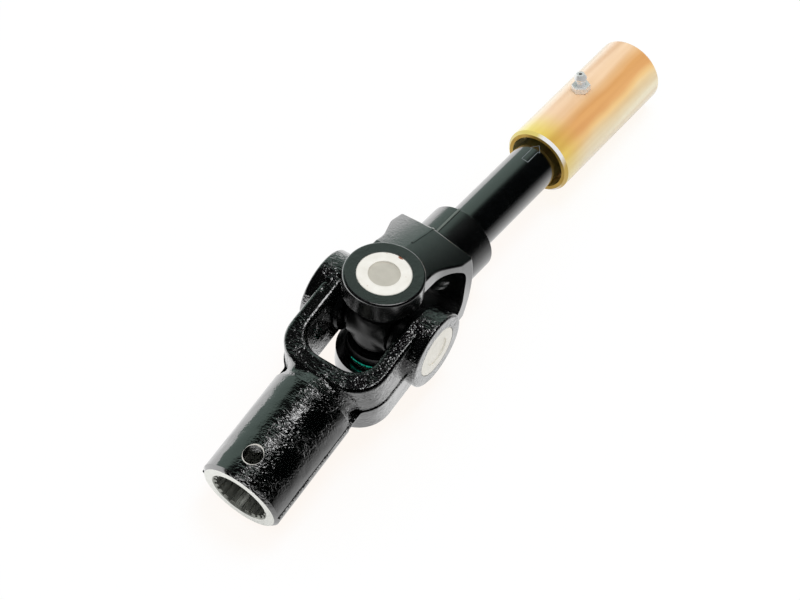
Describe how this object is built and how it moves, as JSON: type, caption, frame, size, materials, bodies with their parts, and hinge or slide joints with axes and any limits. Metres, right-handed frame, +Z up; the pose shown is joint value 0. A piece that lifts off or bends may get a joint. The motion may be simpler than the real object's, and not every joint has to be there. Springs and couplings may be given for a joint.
{
  "type": "drive shaft",
  "caption": "Black drive shaft with one universal joint, a splined forged hub, a yellow splined slip sleeve and a grease nipple.",
  "frame": {"origin": "middle of the bounding box in plan, on the bench", "axes": "+X along the shaft from the hub to the sleeve, +Z up, +Y to the left looking along +X"},
  "size_m": [0.2782, 0.0564, 0.0571],
  "materials": {
    "black_forging": "gloss black paint over a rough forging",
    "satin_black_forging": "satin black paint",
    "black_shaft": "satin black paint on a turned shaft",
    "cross_steel": "black phosphated forging with ground trunnions",
    "ground_steel": "ground bearing steel",
    "bearing_steel": "hardened and ground",
    "spring_steel": "oiled spring steel",
    "seal_rubber": "moulded seal",
    "yellow_zinc": "yellow passivated zinc plating",
    "bright_zinc": "bright zinc plating"
  },
  "bodies": {
    "shaft": {"shaft_yoke": "satin_black_forging", "drive_shaft": "black_shaft", "bearing_cap_top": "ground_steel", "needle_rollers_top": "bearing_steel", "thrust_washer_top": "bearing_steel", "seal_boot_top": "seal_rubber", "snap_ring_top": "spring_steel", "bearing_cap_bottom": "ground_steel", "needle_rollers_bottom": "bearing_steel", "thrust_washer_bottom": "bearing_steel", "seal_boot_bottom": "seal_rubber", "snap_ring_bottom": "spring_steel"},
    "cross": {"cross": "cross_steel"},
    "hub": {"hub_yoke": "black_forging", "bearing_cap_left": "ground_steel", "needle_rollers_left": "bearing_steel", "thrust_washer_left": "bearing_steel", "seal_boot_left": "seal_rubber", "snap_ring_left": "spring_steel", "bearing_cap_right": "ground_steel", "needle_rollers_right": "bearing_steel", "thrust_washer_right": "bearing_steel", "seal_boot_right": "seal_rubber", "snap_ring_right": "spring_steel"},
    "sleeve": {"slip_sleeve": "yellow_zinc", "grease_nipple": "bright_zinc", "nipple_ball": "bearing_steel"}
  },
  "joints": [
    {"name": "cross_swivel", "type": "hinge", "parent": "shaft", "child": "cross", "pos_m": [-0.04446, 0, 0.02856], "axis": [0.0743, 0, 0.9972], "range_deg": [-27.6, 22.4]},
    {"name": "hub_swing", "type": "hinge", "parent": "cross", "child": "hub", "pos_m": [-0.04446, 0, 0.02856], "axis": [-0.0452, 0.999, 0.0034], "range_deg": [-13.88, 36.12]},
    {"name": "sleeve_slide", "type": "slide", "parent": "shaft", "child": "sleeve", "axis": [0.9972, 0, -0.0743], "range_m": [-0.02, 0.012]}
  ]
}
